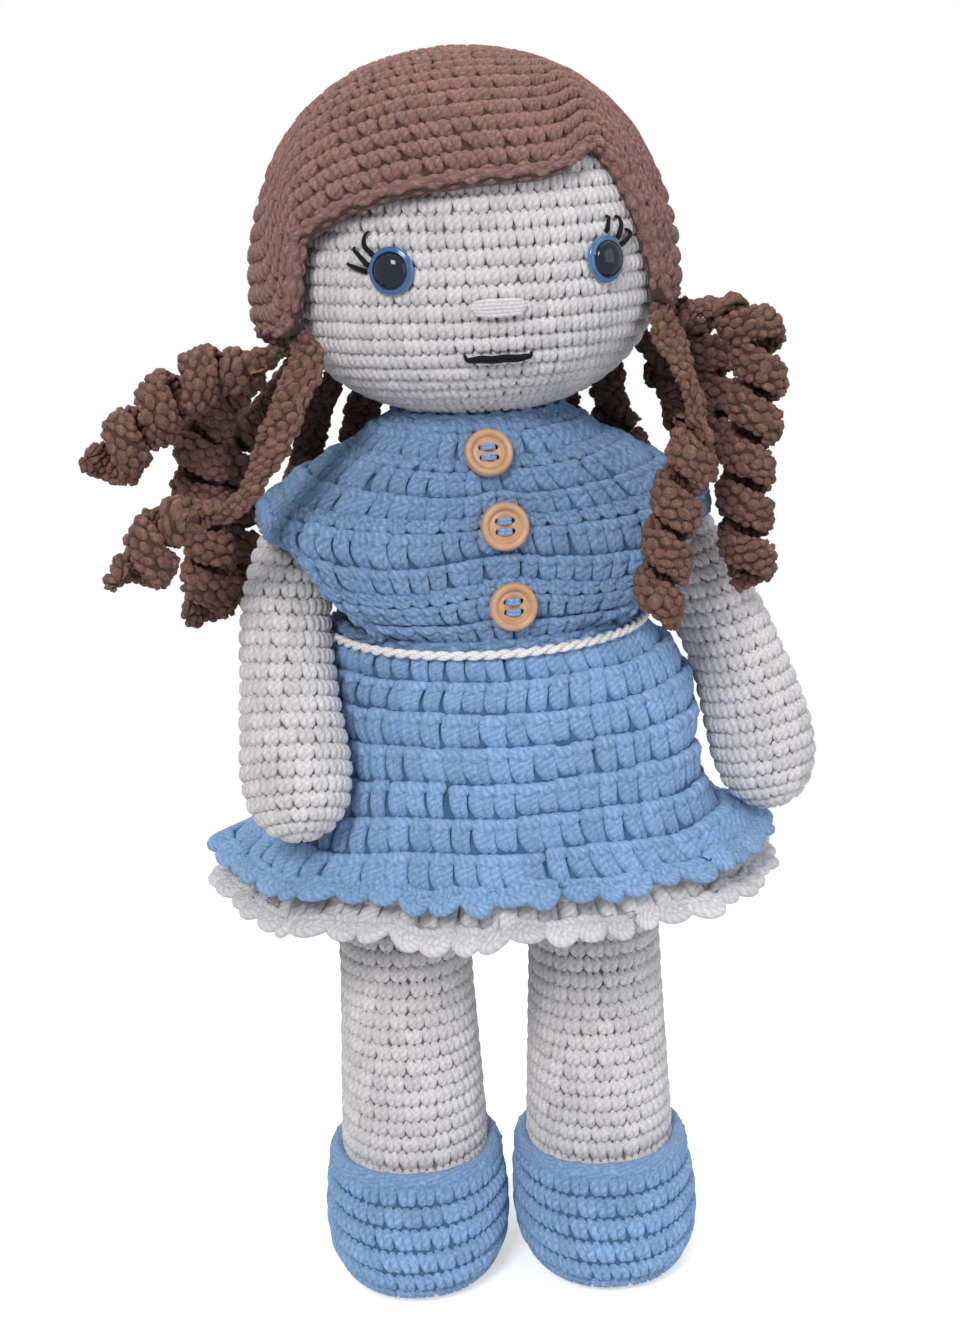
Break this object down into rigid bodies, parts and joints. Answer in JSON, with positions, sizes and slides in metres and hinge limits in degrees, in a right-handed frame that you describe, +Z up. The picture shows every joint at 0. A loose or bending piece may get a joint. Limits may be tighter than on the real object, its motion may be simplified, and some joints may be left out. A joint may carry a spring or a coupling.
{
  "type": "crochet doll",
  "caption": "Stuffed crochet doll with a round head, a wig of corkscrew curls, thread-jointed arms, shoes and a short-sleeved dress over a petticoat.",
  "frame": {"origin": "on the floor, below the middle of the doll's overall box", "axes": "+Z up from the shoe soles to the crown, -Y the way the face looks, +X the doll's left"},
  "size_m": [0.1971, 0.1118, 0.3419],
  "materials": {
    "cream_yarn": "matte cotton yarn in single crochet",
    "brown_yarn": "matte cotton yarn in single crochet",
    "blue_yarn": "matte cotton yarn in double and single crochet",
    "white_cord": "twisted cotton cord",
    "black_thread": "matte thread",
    "button_wood": "sanded and lightly waxed",
    "eye_plastic": "clear gloss over a dark pupil and a blue iris",
    "washer_plastic": "moulded",
    "stuffing": "polyester fibre",
    "insole_board": "plain board"
  },
  "bodies": {
    "doll": {"head_skin": "cream_yarn", "head_filling": "stuffing", "wig_cap": "brown_yarn", "nose_stitches": "cream_yarn", "mouth_stitch": "black_thread", "right_eye": "eye_plastic", "left_eye": "eye_plastic", "right_eye_washer": "washer_plastic", "left_eye_washer": "washer_plastic", "body_skin": "cream_yarn", "body_filling": "stuffing", "shoulder_thread": "cream_yarn", "right_leg_skin": "cream_yarn", "right_leg_filling": "stuffing", "right_insole": "insole_board", "right_shoe": "blue_yarn", "left_leg_skin": "cream_yarn", "left_leg_filling": "stuffing", "left_insole": "insole_board", "left_shoe": "blue_yarn", "bodice": "blue_yarn", "skirt": "blue_yarn", "petticoat": "cream_yarn", "belt_cord": "white_cord", "top_button": "button_wood", "middle_button": "button_wood", "bottom_button": "button_wood", "top_button_thread": "blue_yarn", "middle_button_thread": "blue_yarn", "bottom_button_thread": "blue_yarn"},
    "right_arm": {"right_arm_skin": "cream_yarn", "right_arm_filling": "stuffing"},
    "left_arm": {"left_arm_skin": "cream_yarn", "left_arm_filling": "stuffing"},
    "right_curl_1": {"right_curl_1": "brown_yarn"},
    "right_curl_2": {"right_curl_2": "brown_yarn"},
    "right_curl_3": {"right_curl_3": "brown_yarn"},
    "right_curl_4": {"right_curl_4": "brown_yarn"},
    "back_curl_1": {"back_curl_1": "brown_yarn"},
    "back_curl_2": {"back_curl_2": "brown_yarn"},
    "back_curl_3": {"back_curl_3": "brown_yarn"},
    "back_curl_4": {"back_curl_4": "brown_yarn"},
    "back_curl_5": {"back_curl_5": "brown_yarn"},
    "back_curl_6": {"back_curl_6": "brown_yarn"},
    "left_curl_4": {"left_curl_4": "brown_yarn"},
    "left_curl_3": {"left_curl_3": "brown_yarn"},
    "left_curl_2": {"left_curl_2": "brown_yarn"},
    "left_curl_1": {"left_curl_1": "brown_yarn"}
  },
  "joints": [
    {"name": "right_arm_swing", "type": "hinge", "parent": "doll", "child": "right_arm", "pos_m": [-0.0434, -0.0001, 0.214], "axis": [-1, 0, 0], "range_deg": [0, 15]},
    {"name": "left_arm_swing", "type": "hinge", "parent": "doll", "child": "left_arm", "pos_m": [0.0578, -0.0001, 0.214], "axis": [-1, 0, 0], "range_deg": [-25, 20]},
    {"name": "right_curl_1_swing", "type": "hinge", "parent": "doll", "child": "right_curl_1", "pos_m": [-0.0412, -0.0249, 0.2673], "axis": [-0.456, 0.89, 0], "range_deg": [0, 45]},
    {"name": "right_curl_2_swing", "type": "hinge", "parent": "doll", "child": "right_curl_2", "pos_m": [-0.0468, -0.0107, 0.2672], "axis": [-0.193, 0.9812, 0], "range_deg": [0, 12]},
    {"name": "right_curl_3_swing", "type": "hinge", "parent": "doll", "child": "right_curl_3", "pos_m": [-0.0468, 0.0043, 0.2647], "axis": [0.081, 0.9967, 0], "range_deg": [0, 45]},
    {"name": "right_curl_4_swing", "type": "hinge", "parent": "doll", "child": "right_curl_4", "pos_m": [-0.041, 0.0179, 0.2603], "axis": [0.349, 0.9371, 0], "range_deg": [0, 45]},
    {"name": "back_curl_1_swing", "type": "hinge", "parent": "doll", "child": "back_curl_1", "pos_m": [-0.0286, 0.0294, 0.2548], "axis": [0.6358, 0.7718, 0], "range_deg": [0, 45]},
    {"name": "back_curl_2_swing", "type": "hinge", "parent": "doll", "child": "back_curl_2", "pos_m": [-0.0166, 0.0356, 0.2523], "axis": [0.8319, 0.5549, 0], "range_deg": [0, 45]},
    {"name": "back_curl_3_swing", "type": "hinge", "parent": "doll", "child": "back_curl_3", "pos_m": [-0.0031, 0.0406, 0.2523], "axis": [0.9698, 0.2439, 0], "range_deg": [0, 45]},
    {"name": "back_curl_4_swing", "type": "hinge", "parent": "doll", "child": "back_curl_4", "pos_m": [0.0175, 0.0401, 0.2523], "axis": [0.9688, -0.2479, 0], "range_deg": [0, 45]},
    {"name": "back_curl_5_swing", "type": "hinge", "parent": "doll", "child": "back_curl_5", "pos_m": [0.0353, 0.0327, 0.2535], "axis": [0.76, -0.65, 0], "range_deg": [0, 45]},
    {"name": "back_curl_6_swing", "type": "hinge", "parent": "doll", "child": "back_curl_6", "pos_m": [0.049, 0.0243, 0.2591], "axis": [0.5031, -0.8642, 0], "range_deg": [0, 45]},
    {"name": "left_curl_4_swing", "type": "hinge", "parent": "doll", "child": "left_curl_4", "pos_m": [0.0567, 0.0145, 0.2642], "axis": [0.283, -0.9591, 0], "range_deg": [0, 45]},
    {"name": "left_curl_3_swing", "type": "hinge", "parent": "doll", "child": "left_curl_3", "pos_m": [0.0604, 0.0035, 0.2683], "axis": [0.067, -0.9978, 0], "range_deg": [0, 20]},
    {"name": "left_curl_2_swing", "type": "hinge", "parent": "doll", "child": "left_curl_2", "pos_m": [0.0596, -0.0127, 0.2713], "axis": [-0.2341, -0.9722, 0], "range_deg": [0, 30]},
    {"name": "left_curl_1_swing", "type": "hinge", "parent": "doll", "child": "left_curl_1", "pos_m": [0.0528, -0.0277, 0.2713], "axis": [-0.517, -0.856, 0], "range_deg": [0, 45]}
  ]
}
